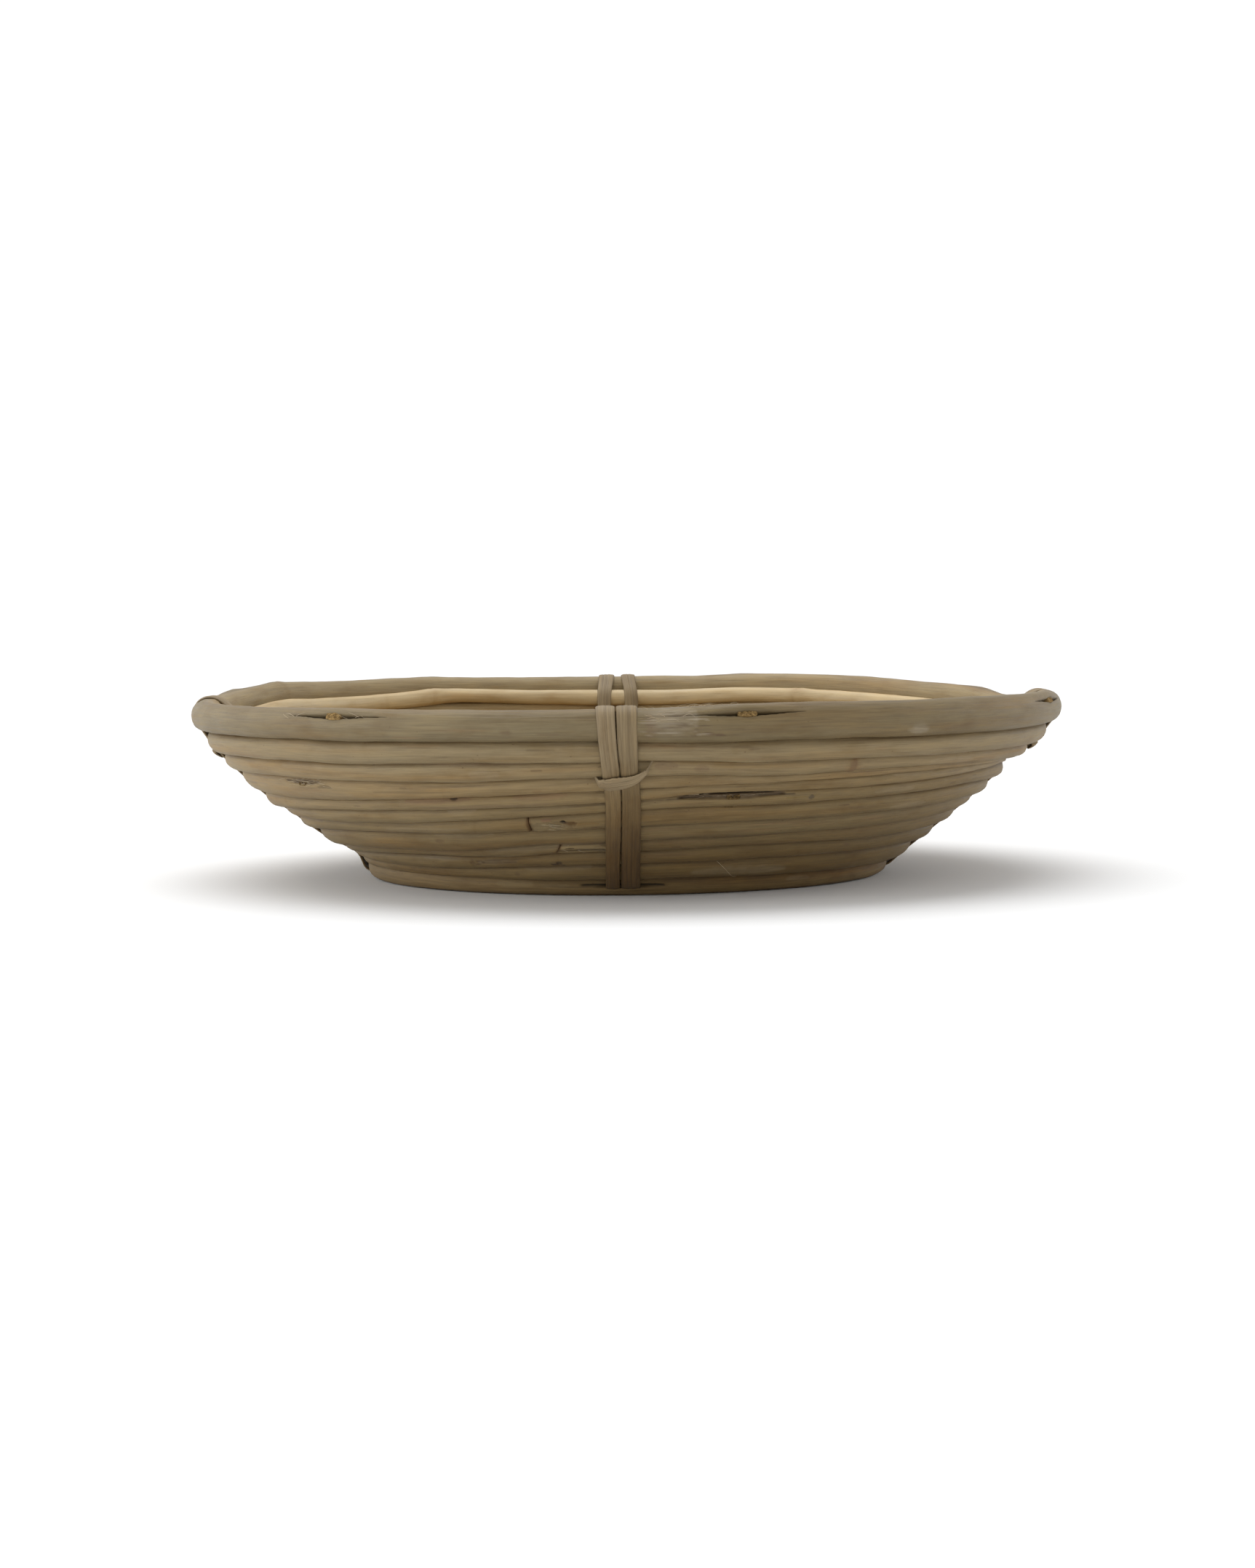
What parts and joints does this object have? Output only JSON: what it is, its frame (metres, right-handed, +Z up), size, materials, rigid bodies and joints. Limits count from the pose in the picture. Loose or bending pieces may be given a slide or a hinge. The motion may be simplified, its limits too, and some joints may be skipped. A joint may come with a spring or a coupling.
{
  "type": "winnowing basket",
  "caption": "Shallow round flared basket of stacked bent rods with a thick rim, a foot ring and split-cane bands over the rim, for tossing and cleaning grain.",
  "frame": {"origin": "on the resting plane at the centre of the foot hoop, below the middle of the rim", "axes": "+Z up out of the basket's mouth, -Y the front where the rim rod's joint is hidden under the bands, +X the right-hand side seen from the front"},
  "size_m": [0.4522, 0.4522, 0.0986],
  "materials": {
    "rim_rod": "weathered peeled rod, light and matte with a soft sheen",
    "wall_rod": "weathered peeled rod, matte, stained between the rods",
    "foot_rod": "dark worn rod, matte",
    "split_cane": "flat split cane with fine lengthwise grain, soft sheen",
    "peg": "rough brown end grain"
  },
  "bodies": {
    "root": {"rim_hoop": "rim_rod", "inner_rim_hoop": "rim_rod", "wall_hoop_01": "wall_rod", "wall_hoop_02": "wall_rod", "wall_hoop_03": "wall_rod", "wall_hoop_04": "wall_rod", "wall_hoop_05": "wall_rod", "wall_hoop_06": "wall_rod", "wall_hoop_07": "wall_rod", "wall_hoop_08": "wall_rod", "wall_hoop_09": "wall_rod", "wall_hoop_10": "wall_rod", "foot_hoop": "foot_rod", "floor_coil": "foot_rod", "band_front_back_left": "split_cane", "band_front_back_right": "split_cane", "band_side_front": "split_cane", "band_side_back": "split_cane", "tie_front": "split_cane", "tie_right": "split_cane", "tie_back": "split_cane", "tie_left": "split_cane", "rim_peg_front_right": "peg", "rim_peg_right": "peg", "rim_peg_back_right": "peg", "rim_peg_back": "peg", "rim_peg_back_left": "peg", "rim_peg_left": "peg", "rim_peg_front_left": "peg", "wall_peg_front_right": "peg", "wall_peg_right": "peg", "wall_peg_back_right": "peg", "wall_peg_back_left": "peg", "wall_peg_left": "peg", "wall_peg_front_left": "peg"}
  },
  "joints": []
}
